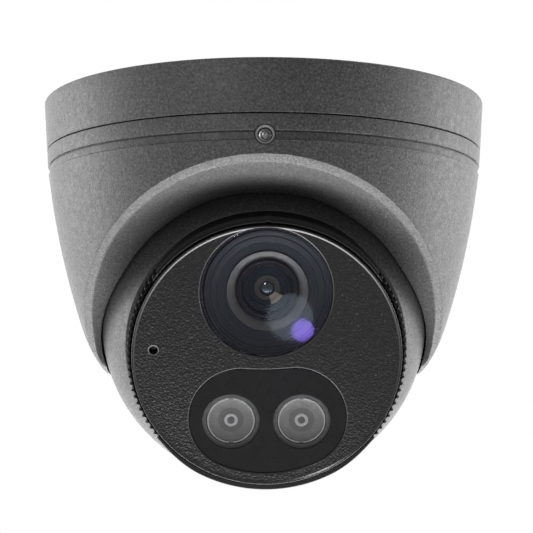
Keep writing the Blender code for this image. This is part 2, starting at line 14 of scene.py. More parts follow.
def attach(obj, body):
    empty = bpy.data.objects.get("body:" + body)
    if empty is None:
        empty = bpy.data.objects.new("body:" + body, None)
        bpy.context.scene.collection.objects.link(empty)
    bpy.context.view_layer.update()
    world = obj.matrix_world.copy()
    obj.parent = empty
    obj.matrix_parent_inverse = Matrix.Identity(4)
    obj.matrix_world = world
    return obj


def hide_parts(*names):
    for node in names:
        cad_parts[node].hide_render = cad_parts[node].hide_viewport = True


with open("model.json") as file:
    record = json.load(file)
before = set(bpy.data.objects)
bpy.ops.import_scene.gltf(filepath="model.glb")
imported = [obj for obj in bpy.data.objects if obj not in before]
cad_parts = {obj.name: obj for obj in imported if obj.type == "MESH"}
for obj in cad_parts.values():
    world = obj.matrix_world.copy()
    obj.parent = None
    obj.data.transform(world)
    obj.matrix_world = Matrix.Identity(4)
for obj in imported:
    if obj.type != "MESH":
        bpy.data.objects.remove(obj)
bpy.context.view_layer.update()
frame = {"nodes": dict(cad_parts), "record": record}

MM = 0.001
GAP = 0.3                     # clearance between neighbouring pieces
COLUMNS = 288                 # steps round the large rings
FINE = 128                    # steps round the small ones
SMALL = 64                    # steps round screws and their holes
CREASE = math.radians(32)     # edges sharper than this stay sharp
FLAT = 0.985                  # upright part of a normal above which a face counts as flat
CLEAR_OF_FACE = 38.0          # height on the lens axis above everything on the face, where cuts start

# Mounting base
BASE_RADIUS = 61.0
BASE_DEPTH = 13.4
WALL_TAPER = 0.068
PLATE = 4.0
RIM_WALL = 2.5
SKIRT_RADIUS = 54.9
SKIRT_WALL = 2.5
SKIRT_DEPTH = 20.2
FLANGE_RADIUS = 56.2
FLANGE_TOP = -17.3
BAYONET_ANGLES = (61.3, 181.3, 301.3)
HOOK_LEAD = 43.0              # degrees from a slot in the base's flange to its hook on the cup
CABLE_HOLE = (0.0, 30.0, 11.0)
SCREW_CIRCLE = 42.0
SCREW_ANGLES = (30, 150, 270)
SCREW_HOLE = 2.25
HOLE_TURN = Matrix.Rotation(math.radians(3.1), 4, "Z")    # keeps the holes' facets off the wall's columns

# Cup
CUP_TOP = -BASE_DEPTH - GAP
CUP_BOTTOM = -74.7
CUP_WALL = 2.4
CUP_BORE = 56.6
GASKET_GROOVE = (57.7, 59.1, -15.0)    # in the cup's top edge: inner radius, outer radius, floor
GROOVE_Z = -17.7
SHOULDER_Z = -20.2
SHOULDER_RADIUS = 59.5
UPPER_ARC = 220.0
UPPER_SLOPE = math.radians(7.4)
LOWER_ARC = 38.0
LOWER_ARC_Z = -62.4
EYE_SLOPE = 0.874
EYE_HEIGHT = -75.07
RIM_BAND = 1.95
LIP_SPHERE = 45.2
LIP_LAND = 1.8
LOWEST_Z = -84.4
FOOT_BLEND = 3.0
YOKE_SPACE = 46.5
LIP_GUIDE = ((0, 30.2), (24, 28.2), (45, 20.1), (57.5, 10.0), (73, -1.3), (84, -9.3), (90, -15.4),
             (180, -15.4))    # degrees from straight ahead, and the lip's height over the ball's centre
PIVOT_POCKET = 3.3
LOCK_SCREW = (0.35, -18.6)

# Ball
BALL_Z = -59.3
BALL_RADIUS = 44.65
BALL_BORE = 42.2
TILT = math.radians(20.6)
YAW = math.radians(1.6)
MOUTH = 25.5
MOUTH_BORE = 34.0
SPLIT = -10.3
STEM_RADIUS = 4.6
STEM_BORE = 3.2
STEM_END = -48.0

# Front cover, grip ring, windows, lens and lamps, along the lens axis
COVER_TURN = math.radians(1.15)
FACE = 34.2
FACE_BACK = 32.0
RIM_RADIUS = 34.6
RIM_BEAD = 0.75
GRIP_RADIUS = 36.0
GRIP_PLAIN = 36.7
GRIP_DEPTH = 0.9
GRIP_FRONT = 33.0
GRIP_HALF_ZONE = 38.0
GRIP_RISE = 24.0              # degrees over which the ring grows from ribs to plain
GRIP_PITCH = 3.0
RIB_POINTS = 12               # points along one rib
GRIP_NIB = 0.3                # outward kink in the ring's front edge, at its top
GRIP_NIB_SPAN = 1.1
WINDOW_SEAT = 32.9
WINDOW_BACK = 33.2
WINDOW_FRONT = 34.0
LENS_HEIGHT = 16.9
LENS_WINDOW = 16.75
LENS_WINDOW_HEIGHT = 17.15
LED_X = 9.15
LED_HEIGHT = -17.5
LAMPS = ((-LED_X, "left"), (LED_X, "right"))
LAMP_VIEW = 7.5               # clear circles in the lamp window's black print
PRINT_STEP = 0.02             # height of the print over the clear circles
PRINT_GAP = 0.01
BAFFLE_STEPS = 5
BEAN_CENTRE = (6.75, -16.55)
BEAN_RADIUS = 13.7
BEAN_DIP = 0.35
MICROPHONE = (-28.96, 2.48)
SOUND_HOLE = 1.4

OBJECT = Matrix.Identity(4)
FACING = (Matrix.Translation((LOCK_SCREW[0] * MM, 0, LOCK_SCREW[1] * MM))
          @ Matrix.Rotation(math.radians(90), 4, "X"))
BALL = (Matrix.Translation((0, 0, BALL_Z * MM)) @ Matrix.Rotation(YAW, 4, "Z")
        @ Matrix.Rotation(math.radians(90) + TILT, 4, "X"))
COVER = BALL @ Matrix.Rotation(COVER_TURN, 4, "Z")


# ---------------------------------------------------------------- materials

class Look:
    """A Principled material whose procedural detail is measured in millimetres on the piece itself."""

    def __init__(self, name, colour, roughness, metallic=0.0, specular=0.5):
        self.material = bpy.data.materials.new(name)
        self.material.use_nodes = True
        self.nodes = self.material.node_tree.nodes
        self.links = self.material.node_tree.links
        self.shader = self.nodes["Principled BSDF"]
        self.shader.inputs["Base Color"].default_value = (*colour, 1.0)
        self.shader.inputs["Roughness"].default_value = roughness
        self.shader.inputs["Metallic"].default_value = metallic
        self.shader.inputs["Specular IOR Level"].default_value = specular
        self.place = self.nodes.new("ShaderNodeTexCoord").outputs["Object"]
        self.height = None

    def noise(self, size, detail=2.0, stretch=None):
        """Noise with features of about `size` millimetres."""
        texture = self.nodes.new("ShaderNodeTexNoise")
        texture.inputs["Scale"].default_value = 1.0 / (size * MM)
        texture.inputs["Detail"].default_value = detail
        source = self.place
        if stretch:
            mapping = self.nodes.new("ShaderNodeMapping")
            mapping.inputs["Scale"].default_value = stretch
            self.links.new(source, mapping.inputs["Vector"])
            source = mapping.outputs["Vector"]
        self.links.new(source, texture.inputs["Vector"])
        return texture.outputs["Fac"]

    def cells(self, size, feature="F1"):
        texture = self.nodes.new("ShaderNodeTexVoronoi")
        texture.feature = feature
        texture.inputs["Scale"].default_value = 1.0 / (size * MM)
        self.links.new(self.place, texture.inputs["Vector"])
        return texture.outputs["Distance"]

    def ranged(self, value, low, high, to_low, to_high):
        """Map a value's range onto another one."""
        node = self.nodes.new("ShaderNodeMapRange")
        self.links.new(value, node.inputs["Value"])
        sockets = ("From Min", "From Max", "To Min", "To Max")
        for socket, number in zip(sockets, (low, high, to_low, to_high)):
            node.inputs[socket].default_value = number
        return node.outputs["Result"]

    def math(self, operation, first, second):
        node = self.nodes.new("ShaderNodeMath")
        node.operation = operation
        for socket, value in zip(node.inputs, (first, second)):
            if isinstance(value, float):
                socket.default_value = value
            else:
                self.links.new(value, socket)
        return node.outputs["Value"]

    def tint(self, factor, colour):
        """Blend the base colour towards another one by a factor."""
        base = self.shader.inputs["Base Color"]
        node = self.nodes.new("ShaderNodeMix")
        node.data_type = "RGBA"
        self.links.new(factor, node.inputs["Factor"])
        if base.is_linked:
            self.links.new(base.links[0].from_socket, node.inputs["A"])
        else:
            node.inputs["A"].default_value = base.default_value
        node.inputs["B"].default_value = (*colour, 1.0)
        self.links.new(node.outputs["Result"], base)

    def rough(self, value, low, high):
        self.links.new(self.ranged(value, 0.3, 0.7, low, high), self.shader.inputs["Roughness"])

    def bump(self, value, depth, strength=1.0):
        """Raise the surface by `depth` millimetres where the value is one."""
        node = self.nodes.new("ShaderNodeBump")
        node.inputs["Distance"].default_value = depth * MM
        node.inputs["Strength"].default_value = strength
        self.links.new(value, node.inputs["Height"])
        if self.height:
            self.links.new(self.height, node.inputs["Normal"])
        self.height = node.outputs["Normal"]
        self.links.new(self.height, self.shader.inputs["Normal"])

    def wear(self, colour, amount=0.5):
        """Lighter paint along the convex edges."""
        geometry = self.nodes.new("ShaderNodeNewGeometry")
        edge = self.ranged(geometry.outputs["Pointiness"], 0.53, 0.62, 0.0, amount)
        patches = self.ranged(self.noise(3.0, 4.0), 0.35, 0.6, 0.3, 1.0)
        self.tint(self.math("MULTIPLY", edge, patches), colour)


def scaled(colour, factor):
    return tuple(channel * factor for channel in colour)


def powder_coat(name):
    """Charcoal powder coat: fine pimpled grain with small light and dark specks."""
    colour = (0.077, 0.076, 0.076)
    look = Look(name, colour, 0.5)
    specks = look.noise(0.5, 1.5)
    look.tint(look.ranged(specks, 0.52, 0.70, 0.0, 1.0), scaled(colour, 1.85))
    look.tint(look.ranged(specks, 0.48, 0.32, 0.0, 1.0), scaled(colour, 0.5))
    look.tint(look.ranged(look.noise(14.0), 0.35, 0.65, 0.0, 0.12), scaled(colour, 1.3))
    look.wear(scaled(colour, 2.2), 0.35)
    look.rough(look.noise(1.6), 0.46, 0.58)
    look.bump(specks, 0.05)
    return look.material


def leather_black(name):
    """Black moulding with a leather grain that is coarser towards the foot and the left, with light flecks
    painted on as glints, more of them there.
    """
    look = Look(name, (0.0112, 0.0112, 0.011), 0.42, 0.0, 0.4)
    spread = look.nodes.new("ShaderNodeSeparateXYZ")
    look.links.new(look.place, spread.inputs["Vector"])
    lean = look.math("MULTIPLY", spread.outputs["X"], -0.6)
    place = look.math("SUBTRACT", lean, spread.outputs["Y"])
    grain_and_glint_weight = look.ranged(place, -0.022, 0.03, 0.22, 1.0)
    wrinkle = look.noise(0.75, 3.0, (1.0, 1.25, 1.0))
    pores = look.cells(0.55)
    grain = look.math("ADD", wrinkle, look.math("MULTIPLY", pores, 0.6))
    look.bump(look.math("MULTIPLY", grain, grain_and_glint_weight), 0.21)
    look.bump(look.noise(0.3, 2.0), 0.025)
    # Painted glints: light flecks in the grain, weighted towards the foot and the left.
    painted_glint_flecks = look.ranged(look.noise(0.36, 2.0), 0.66, 0.76, 0.0, 1.0)
    look.tint(look.math("MULTIPLY", painted_glint_flecks, grain_and_glint_weight), (0.12, 0.12, 0.117))
    # Painted sparkle: small light specks spread all over the face.
    painted_sparkle_glints = look.ranged(look.noise(0.5, 1.0), 0.69, 0.75, 0.0, 1.0)
    look.tint(painted_sparkle_glints, (0.09, 0.09, 0.088))
    look.rough(look.noise(0.8, 3.0), 0.33, 0.5)
    return look.material


def moulded(name, colour, roughness, specular=0.5, grain=0.25, depth=0.012):
    """Plain moulded plastic: faint mottle, faint grain and slightly worn edges."""
    look = Look(name, colour, roughness, 0.0, specular)
    look.tint(look.ranged(look.noise(6.0, 3.0), 0.35, 0.65, 0.0, 0.25), scaled(colour, 1.35))
    look.wear(scaled(colour, 1.9), 0.3)
    look.rough(look.noise(2.2, 3.0), roughness * 0.85, roughness * 1.15)
    look.bump(look.noise(grain, 2.0), depth)
    return look.material


def metal(name, colour, roughness, stretch=(1.0, 1.0, 12.0)):
    """Bare metal with fine drawn lines."""
    look = Look(name, colour, roughness, 1.0)
    lines = look.noise(0.5, 3.0, stretch)
    look.tint(look.ranged(lines, 0.35, 0.7, 0.0, 0.5), scaled(colour, 0.7))
    look.rough(lines, roughness * 0.8, roughness * 1.3)
    look.bump(lines, 0.01)
    return look.material


def board(name):
    """Green solder mask with copper tracks just visible under it."""
    green = (0.012, 0.105, 0.04)
    look = Look(name, green, 0.32)
    tracks = look.cells(2.4, "DISTANCE_TO_EDGE")
    look.tint(look.ranged(tracks, 0.08, 0.05, 0.0, 0.7), (0.03, 0.2, 0.07))
    look.tint(look.ranged(look.noise(9.0), 0.4, 0.6, 0.0, 0.3), scaled(green, 0.6))
    look.rough(look.noise(1.2), 0.26, 0.4)
    look.bump(tracks, 0.03, 0.5)
    return look.material


def pane(name, through, coat_tint=(1.0, 1.0, 1.0), ior=1.5):
    """Flat window: light passes straight through, and the outer face mirrors by its angle."""
    gloss = 0.02
    look = Look(name, through, gloss)
    clear = look.nodes.new("ShaderNodeBsdfTransparent")
    clear.inputs["Color"].default_value = (*through, 1.0)
    mirror = look.nodes.new("ShaderNodeBsdfGlossy")
    mirror.inputs["Color"].default_value = (*coat_tint, 1.0)
    haze = look.ranged(look.noise(7.0, 3.0), 0.3, 0.7, gloss, gloss * 2.5)
    look.links.new(haze, mirror.inputs["Roughness"])
    fresnel = look.nodes.new("ShaderNodeFresnel")
    fresnel.inputs["IOR"].default_value = ior
    side = look.nodes.new("ShaderNodeNewGeometry")
    outer = look.math("SUBTRACT", 1.0, side.outputs["Backfacing"])
    mix = look.nodes.new("ShaderNodeMixShader")
    look.links.new(look.math("MULTIPLY", fresnel.outputs["Fac"], outer), mix.inputs["Fac"])
    look.links.new(clear.outputs["BSDF"], mix.inputs[1])
    look.links.new(mirror.outputs["BSDF"], mix.inputs[2])
    output = look.nodes["Material Output"]
    look.links.new(mix.outputs["Shader"], output.inputs["Surface"])
    look.nodes.remove(look.shader)
    return look.material


def coated_lens(name):
    """Lens glass: partly see-through, with a purple anti-reflection coat."""
    look = Look(name, (0.012, 0.016, 0.02), 0.05, 0.0, 0.6)
    look.shader.inputs["Coat Weight"].default_value = 0.6
    look.shader.inputs["Coat Tint"].default_value = (0.72, 0.6, 1.0, 1.0)
    look.shader.inputs["Coat Roughness"].default_value = 0.03
    look.shader.inputs["Alpha"].default_value = 0.45
    look.tint(look.ranged(look.noise(4.0), 0.35, 0.65, 0.0, 0.5), (0.018, 0.014, 0.03))
    look.rough(look.noise(2.0), 0.04, 0.07)
    return look.material


LOOKS = {
    "powder_coat": powder_coat("charcoal_powder_coat"),
    "black_plastic": moulded("black_moulding", (0.016, 0.016, 0.016), 0.42),
    "rubber": moulded("black_rubber", (0.018, 0.018, 0.018), 0.8, 0.3, 0.5, 0.03),
    "steel": metal("plain_steel", (0.42, 0.42, 0.43), 0.36),
    "acetal": moulded("white_acetal", (0.7, 0.7, 0.67), 0.42),
    "aluminium": metal("plain_aluminium", (0.56, 0.57, 0.59), 0.4, (12.0, 1.0, 1.0)),
    "clear": pane("clear_window", (0.97, 0.98, 1.0), (0.85, 0.78, 1.0)),
    "smoked": pane("tinted_window", (0.86, 0.86, 0.87)),
    "coated_glass": coated_lens("coated_glass"),
    "board_green": board("green_board"),
    "chip_black": moulded("black_package", (0.022, 0.022, 0.024), 0.38),
    "phosphor": moulded("yellow_phosphor", (0.8, 0.62, 0.12), 0.5),
    "pad_blue": moulded("blue_silicone_pad", (0.22, 0.36, 0.55), 0.75, 0.3),
}


# ---------------------------------------------------------------- shapes

def rounded(profile, steps=4):
    """Polygon of (x, y) or (x, y, fillet) points with a true arc at each corner that has a fillet."""
    points = []
    for k, (x, y, *fillet) in enumerate(profile):
        if not fillet:
            points.append((x, y))
            continue
        corner = Vector((x, y))
        before = Vector(profile[k - 1][:2]) - corner
        after = Vector(profile[(k + 1) % len(profile)][:2]) - corner
        half = before.angle(after) / 2
        reach = min(fillet[0] / math.tan(half), 0.45 * before.length, 0.45 * after.length)
        before.normalize()
        after.normalize()
        centre = corner + (before + after).normalized() * (reach / math.cos(half))
        start, end = corner + before * reach, corner + after * reach
        radius = (start - centre).length
        for i in range(steps + 1):
            point = centre + (start.lerp(end, i / steps) - centre).normalized() * radius
            points.append((point.x, point.y))
    return points


def turned(profile, segments=COLUMNS):
    """Solid of revolution about Z from (radius, height) points; radius 0 marks the axis."""
    profile = rounded(profile)
    shape = bmesh.new()
    points = [shape.verts.new((radius * MM, 0, height * MM)) for radius, height in profile]
    edges = [shape.edges.new(pair) for pair in zip(points, points[1:])]
    if profile[0][0] > 0 or profile[-1][0] > 0:
        edges.append(shape.edges.new((points[-1], points[0])))
    bmesh.ops.spin(
        shape, geom=points + edges, cent=(0, 0, 0), axis=(0, 0, 1), dvec=(0, 0, 0),
        angle=math.tau, steps=segments, use_merge=True, use_duplicate=False)
    bmesh.ops.remove_doubles(shape, verts=shape.verts, dist=1e-8)
    return shape


def loft(rings):
    """Closed tube of quads through rings of points, each ring closed and the last joined to the first."""
    shape = bmesh.new()
    rows = [[shape.verts.new(Vector(point) * MM) for point in ring] for ring in rings]
    count = len(rows[0])
    for row, following in zip(rows, rows[1:] + rows[:1]):
        for k in range(count):
            after = (k + 1) % count
            shape.faces.new((row[k], row[after], following[after], following[k]))
    return shape


def stack(levels):
    """Solid through closed outlines, given as (outline, height) pairs from foot to top, with flat ends."""
    shape = bmesh.new()
    rows = [[shape.verts.new((x * MM, y * MM, z * MM)) for x, y in outline] for outline, z in levels]
    count = len(rows[0])
    shape.faces.new(rows[0])
    shape.faces.new(rows[-1])
    for row, following in zip(rows, rows[1:]):
        for k in range(count):
            after = (k + 1) % count
            shape.faces.new((row[k], row[after], following[after], following[k]))
    return shape


def moved(shape, x, y):
    bmesh.ops.translate(shape, verts=shape.verts, vec=(x * MM, y * MM, 0))
    return shape


def bore(radius, top, bottom, segments=COLUMNS):
    """Plain round cutter about Z."""
    return turned(((0, top), (radius, top), (radius, bottom), (0, bottom)), segments)


def arc_points(radius, start, end, steps, centre=(0.0, 0.0)):
    """Points on an arc, angles in degrees."""
    angles = [math.radians(start + (end - start) * k / steps) for k in range(steps + 1)]
    return [(centre[0] + radius * math.cos(a), centre[1] + radius * math.sin(a)) for a in angles]


def arc_block(inner, outer, low, high, middle, span):
    """Curved bar about Z, centred on an angle in degrees."""
    start, end, steps = middle - span / 2, middle + span / 2, 17
    outline = arc_points(outer, start, end, steps) + arc_points(inner, end, start, steps)
    return stack(((outline, low), (outline, high)))


def sphere_arc(radius, start, end, steps):
    """Profile points on a sphere about the origin, between two heights."""
    first, last = math.asin(start / radius), math.asin(end / radius)
    angles = [first + (last - first) * k / steps for k in range(steps + 1)]
    return [(radius * math.cos(a), radius * math.sin(a)) for a in angles]


def to_object(name, shape, place):
    bmesh.ops.recalc_face_normals(shape, faces=shape.faces)
    mesh = bpy.data.meshes.new(name)
    shape.to_mesh(mesh)
    shape.free()
    item = bpy.data.objects.new(name, mesh)
    bpy.context.scene.collection.objects.link(item)
    item.matrix_world = place
    return item


def combined(item, tools):
    """The object's mesh after each (operation, tool object) Boolean; the tools are removed."""
    for operation, tool in tools:
        step = item.modifiers.new(tool.name, "BOOLEAN")
        step.operation = operation
        step.solver = "EXACT"
        step.object = tool
    bpy.context.view_layer.update()
    mesh = bpy.data.meshes.new_from_object(item.evaluated_get(bpy.context.evaluated_depsgraph_get()))
    item.modifiers.clear()
    item.data = mesh
    for _, tool in tools:
        bpy.data.objects.remove(tool, do_unlink=True)


def piece(name, shape, look, body, nodes, place=BALL, tools=()):
    """A finished piece: cut, shaded, given its look, and put in place of its CAD nodes.

    Each tool is (operation, shape) or (operation, shape, place); without a place it has the piece's own.
    """
    item = to_object(name, shape, place)
    if tools:
        cutters = []
        for k, (operation, tool, *where) in enumerate(tools):
            tool_item = to_object(f"{name}_tool_{k}", tool, where[0] if where else place)
            cutters.append((operation, tool_item))
        combined(item, cutters)
    item.data.shade_smooth()
    item.data.set_sharp_from_angle(angle=CREASE)
    item.data.materials.clear()
    item.data.materials.append(look)
    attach(item, body)
    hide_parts(*nodes)
    return item


def trim(item, look, chosen):
    """Give another look to the faces whose centre (in millimetres) and normal are chosen."""
    item.data.materials.append(look)
    for face in item.data.polygons:
        if chosen(face.center / MM, face.normal):
            face.material_index = len(item.data.materials) - 1


# ---------------------------------------------------------------- base and cup

def wall_radius(z):
    return BASE_RADIUS + WALL_TAPER * z


def bowl_radius(z):
    """Outside of the cup below its shoulder: a long arc that runs into a tight one."""
    upper_x = SHOULDER_RADIUS - UPPER_ARC * math.cos(UPPER_SLOPE)
    upper_z = SHOULDER_Z + UPPER_ARC * math.sin(UPPER_SLOPE)
    if z > LOWER_ARC_Z:
        return upper_x + math.sqrt(UPPER_ARC ** 2 - (z - upper_z) ** 2)
    slope = math.asin((upper_z - LOWER_ARC_Z) / UPPER_ARC)
    lower_x = upper_x + (UPPER_ARC - LOWER_ARC) * math.cos(slope)
    lower_z = LOWER_ARC_Z + LOWER_ARC * math.sin(slope)
    return lower_x + math.sqrt(LOWER_ARC ** 2 - (z - lower_z) ** 2)


def eye_plane_z(radius, away):
    return EYE_HEIGHT + EYE_SLOPE * radius * math.cos(away)


def eye_edge(away):
    """Height of the cup's lower edge, and its share of the eye's plane: 1 on the plane, 0 on the foot."""
    low, high = LOWEST_Z, SHOULDER_Z
    for _ in range(40):
        middle = (low + high) / 2
        if eye_plane_z(bowl_radius(middle), away) > middle:
            low = middle
        else:
            high = middle
    above = low - CUP_BOTTOM
    blend = math.hypot(above, FOOT_BLEND)
    return CUP_BOTTOM + (above + blend) / 2, (1 + above / blend) / 2


def through_guide(guide, x):
    """Smooth curve through guide points, with slopes taken from each point's neighbours."""
    last = len(guide) - 1
    k = max(i for i in range(last) if guide[i][0] <= x)

    def slope(i):
        before, after = max(i - 1, 0), min(i + 1, last)
        if i in (0, last, last - 1):
            return 0.0
        return (guide[after][1] - guide[before][1]) / (guide[after][0] - guide[before][0])

    (x0, y0), (x1, y1) = guide[k], guide[k + 1]
    t = (x - x0) / (x1 - x0)
    run = x1 - x0
    return (y0 * (1 + 2 * t) * (1 - t) ** 2 + slope(k) * run * t * (1 - t) ** 2
            + y1 * t * t * (3 - 2 * t) + slope(k + 1) * run * t * t * (t - 1))


def sphere_radius_at(radius, z):
    return math.sqrt(radius ** 2 - (z - BALL_Z) ** 2)


def cup_section(away):
    """The cup's closed profile of (radius, z, fillet) points at one angle from straight ahead."""
    foot, on_plane = eye_edge(away)
    foot_radius = bowl_radius(foot)
    lip = BALL_Z + through_guide(LIP_GUIDE, math.degrees(away))
    lip = max(lip, foot) if away > math.pi / 3 else lip
    lip_radius = sphere_radius_at(LIP_SPHERE, lip)
    band = min(RIM_BAND, 0.5 * (foot_radius - lip_radius))
    band_radius = foot_radius - band
    band_z = foot - on_plane * EYE_SLOPE * band * math.cos(away)

    inner, outer, bottom = GASKET_GROOVE
    section = [(CUP_BORE, CUP_TOP), (inner, CUP_TOP), (inner, bottom), (outer, bottom), (outer, CUP_TOP),
               (wall_radius(CUP_TOP), CUP_TOP, 0.22), (wall_radius(GROOVE_Z), GROOVE_Z, 0.1),
               (59.1, GROOVE_Z - 0.1), (59.1, GROOVE_Z - 0.32), (59.38, GROOVE_Z - 0.45, 0.1),
               (59.3, SHOULDER_Z + 0.25), (SHOULDER_RADIUS + 0.05, SHOULDER_Z + 0.05, 0.06)]
    for k in range(1, 25):
        z = SHOULDER_Z + (foot - SHOULDER_Z) * k / 24
        section.append((bowl_radius(z), z))
    section[-1] = (foot_radius, foot, 0.18)
    section.append((band_radius, band_z, 1.5))
    for k in range(1, 8):
        part = k / 8
        radius = band_radius + (lip_radius - band_radius) * part
        section.append((radius, band_z + (lip - band_z) * part))
    section.append((lip_radius, lip, 0.35))

    land = lip + LIP_LAND
    floor = min(max(max(foot, lip) + 3.2, LOWER_ARC_Z), -22.0)
    section.append((sphere_radius_at(LIP_SPHERE, land), land))
    land += 0.1
    for k in range(8):
        z = land + (floor - land) * k / 7
        section.append((sphere_radius_at(YOKE_SPACE, z), z))
    for k in range(8):
        z = floor + (-21.5 - floor) * k / 7
        section.append((min(CUP_BORE, bowl_radius(z) - CUP_WALL), z))
    return rounded(section, 3)


def build_cup():
    """Cup with its oblique eye, hooks for the base's collar, the screw's recess and two pivot pockets."""
    sections = []
    for k in range(COLUMNS):
        turn = math.tau * (k + 0.5) / COLUMNS
        away = turn if turn <= math.pi else math.tau - turn
        sections.append([(radius * math.sin(turn), -radius * math.cos(turn), z)
                         for radius, z in cup_section(away)])
    rings = [list(ring) for ring in zip(*sections)]
    tools = []
    for angle in BAYONET_ANGLES:
        hook = arc_block(SKIRT_RADIUS + 0.4, CUP_BORE + 1.0, -16.9, -14.6, angle + HOOK_LEAD, 20)
        tools.append(("UNION", hook))
    recess = turned(((0, 62.0), (3.0, 62.0), (2.72, 59.35), (2.55, 58.9), (2.5, 58.0), (2.2, 57.9, 0.05),
                     (1.78, 57.5), (1.78, 54.0), (0, 54.0)), FINE)
    tools.append(("DIFFERENCE", recess, FACING))
    for side in (1, -1):
        sideways = (Matrix.Translation((0, 0, BALL_Z * MM))
                    @ Matrix.Rotation(YAW, 4, "Z") @ Matrix.Rotation(-side * math.radians(90), 4, "Y"))
        tools.append(("DIFFERENCE", bore(PIVOT_POCKET, 48.4, 44.0, FINE), sideways))
    piece("cup_shell", loft(rings), LOOKS["powder_coat"], "cup", ["cup_housing"],
          OBJECT, tools)


def build_lock_screw():
    """Set screw with a hexagon socket, sunk in the cup's wall."""
    screw = turned(((0, 58.6), (0.6, 58.5), (1.1, 58.2, 0.1), (1.2, 57.6), (1.6, 57.5, 0.1),
                    (1.6, 56.9), (1.2, 56.5), (0, 56.5)), SMALL)
    hexagon = arc_points(0.5, 0, 300, 5)
    socket = stack(((hexagon, 57.9), (hexagon, 59.0)))
    piece("set_screw", screw, LOOKS["steel"], "cup", ["lock_screw"], FACING,
          [("DIFFERENCE", socket)])
    # Light grey ring round the screw: a painted highlight standing in for the light on the recess's chamfer.
    bush = turned(((1.8, 58.1), (1.9, 58.35), (2.3, 58.6, 0.08), (2.42, 58.35), (2.42, 57.7),
                   (1.8, 57.7)), SMALL)
    bush_highlight_look = moulded("lock_bush_painted_highlight", (0.5, 0.5, 0.49), 0.25, 0.9)
    piece("lock_bush", bush, bush_highlight_look, "cup", [], FACING)


def build_base():
    """Base with its collar, whose flange is slotted for the cup's hooks, and its cable and screw holes."""
    seam_radius = wall_radius(-BASE_DEPTH)
    profile = ((0, 0), (BASE_RADIUS, 0, 0.6), (seam_radius, -BASE_DEPTH, 0.22),
               (seam_radius - RIM_WALL, -BASE_DEPTH), (seam_radius - RIM_WALL, -PLATE, 0.8),
               (SKIRT_RADIUS, -PLATE, 0.8), (SKIRT_RADIUS, FLANGE_TOP), (FLANGE_RADIUS, FLANGE_TOP, 0.2),
               (FLANGE_RADIUS, -SKIRT_DEPTH, 0.3), (SKIRT_RADIUS - SKIRT_WALL, -SKIRT_DEPTH, 0.3),
               (SKIRT_RADIUS - SKIRT_WALL, -PLATE, 0.8), (0, -PLATE))
    hole_x, hole_y, hole_radius = CABLE_HOLE
    cable_cut = turned(((0, 2), (hole_radius + 2.5, 2), (hole_radius, -0.5), (hole_radius, -6),
                        (0, -6)), FINE)
    cable_at = Matrix.Translation((hole_x * MM, hole_y * MM, 0))
    tools = [("DIFFERENCE", cable_cut, cable_at @ HOLE_TURN)]
    for angle in SCREW_ANGLES:
        turn = math.radians(angle)
        x, y = SCREW_CIRCLE * math.cos(turn), SCREW_CIRCLE * math.sin(turn)
        hole = turned(((0, 2), (SCREW_HOLE, 2), (SCREW_HOLE, -2), (4.4, -4.2), (4.4, -6), (0, -6)), SMALL)
        tools.append(("DIFFERENCE", hole, Matrix.Translation((x * MM, y * MM, 0)) @ HOLE_TURN))
    for angle in BAYONET_ANGLES:
        tools.append(("DIFFERENCE", arc_block(SKIRT_RADIUS + 0.1, 60, -23, -16, angle, 26)))
    piece("base_housing", turned(profile), LOOKS["powder_coat"], "base",
          ["mounting_base"], OBJECT, tools)


# ---------------------------------------------------------------- ball and face

def build_shells():
    """Front and rear shell of the ball; the rear one has a spigot and a hollow stem for the cable."""
    front = [(MOUTH_BORE, MOUTH), (36.0, MOUTH), (math.sqrt(BALL_RADIUS ** 2 - MOUTH ** 2), MOUTH, 0.25)]
    front += sphere_arc(BALL_RADIUS, MOUTH - 0.8, SPLIT + GAP / 2 + 0.4, 48)
    front += [(BALL_RADIUS * math.cos(math.asin(SPLIT / BALL_RADIUS)) - 0.15, SPLIT + GAP / 2)]
    front += sphere_arc(BALL_BORE, SPLIT + GAP / 2, 25.0, 24)
    front[-1] = (MOUTH_BORE, 25.0)
    piece("ball_front", turned(front), LOOKS["powder_coat"], "ball", ["ball_shell_front"])

    face = SPLIT - GAP / 2
    stem_root = -math.sqrt(BALL_RADIUS ** 2 - STEM_RADIUS ** 2)
    bore_root = -math.sqrt(BALL_BORE ** 2 - STEM_BORE ** 2)
    spigot_outer, spigot_inner = 40.6, 38.6
    rear = sphere_arc(BALL_RADIUS, face, stem_root, 48)
    rear += [(STEM_RADIUS, STEM_END, 0.3), (STEM_BORE, STEM_END, 0.3)]
    rear += sphere_arc(BALL_BORE, bore_root, -math.sqrt(BALL_BORE ** 2 - spigot_inner ** 2), 24)
    rear += [(spigot_inner, face + 3.4), (spigot_outer, face + 3.4), (spigot_outer, face), (41.0, face),
             (41.0, face - 1.2), (42.4, face - 1.2), (42.4, face)]
    piece("ball_rear", turned(rear), LOOKS["powder_coat"], "ball", ["ball_shell_rear"])


def bean_outline(inset):
    """Lamp window: two round ends, a foot concentric with the face, and a slightly dipped top."""
    x, y = BEAN_CENTRE
    radius = BEAN_RADIUS - inset
    reach = math.hypot(x, y) + radius
    lean = math.degrees(math.atan2(x, -y))
    outline = arc_points(radius, -90 + lean, 90, 40, (x, y))
    for k in range(1, 16):
        part = k / 16
        outline.append((x - 2 * x * part, y + radius - BEAN_DIP * math.sin(math.pi * part)))
    outline += arc_points(radius, 90, 270 - lean, 40, (-x, y))
    outline += arc_points(reach, 270 - lean, 270 + lean, 30)[1:-1]
    return outline


